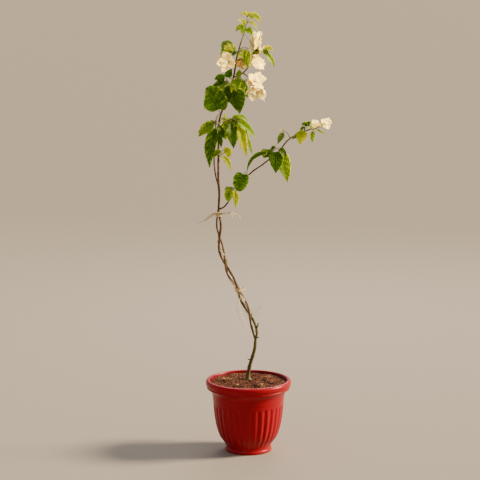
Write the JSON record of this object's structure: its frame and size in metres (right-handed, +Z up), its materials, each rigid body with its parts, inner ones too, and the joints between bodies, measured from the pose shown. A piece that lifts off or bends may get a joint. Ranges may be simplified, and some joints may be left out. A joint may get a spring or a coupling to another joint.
{
  "type": "potted bougainvillea",
  "caption": "Young bougainvillea shrub on thin twined stems with loose sprays of leaves and white papery blossom, standing in a fluted red plastic pot.",
  "frame": {"origin": "centre of the pot's flat underside", "axes": "+Z up along the pot's axis, -Y towards the front, +X to the right where the side bough reaches out"},
  "size_m": [0.3171, 0.2028, 1.0439],
  "materials": {
    "pot_plastic": "satin deep red moulded polypropylene",
    "potting_soil": "loose damp potting soil",
    "bark": "thin young bark, brown with green",
    "raffia": "dry raffia strand",
    "leaf": "half glossy green leaves",
    "bract": "papery cream white bracts"
  },
  "bodies": {
    "root": {"pot": "pot_plastic", "potting_soil": "potting_soil", "trunk": "bark", "main_stem": "bark", "second_stem": "bark", "leader": "bark", "crown_leader": "bark", "right_bough": "bark", "left_shoot": "bark", "crown_branch": "bark", "lower_tie": "raffia", "upper_tie": "raffia", "back_blossom": "bract", "bough_back_leaves": "leaf", "bough_low_leaves": "leaf", "bough_middle_leaves": "leaf", "bough_outer_leaves": "leaf", "bough_round_leaf": "leaf", "bough_tip_flower": "bract", "bough_upper_leaf": "leaf", "crown_back_leaves": "leaf", "front_leaves": "leaf", "left_blossom": "bract", "low_sprig": "leaf", "lower_back_leaves": "leaf", "lower_left_leaves": "leaf", "lower_right_leaves": "leaf", "mid_back_leaves": "leaf", "mid_left_leaves": "leaf", "mid_right_leaves": "leaf", "right_lower_blossom": "bract", "right_upper_blossom": "bract", "shoot_top_leaves": "leaf", "top_spray": "leaf", "upper_left_leaves": "leaf"}
  },
  "joints": []
}
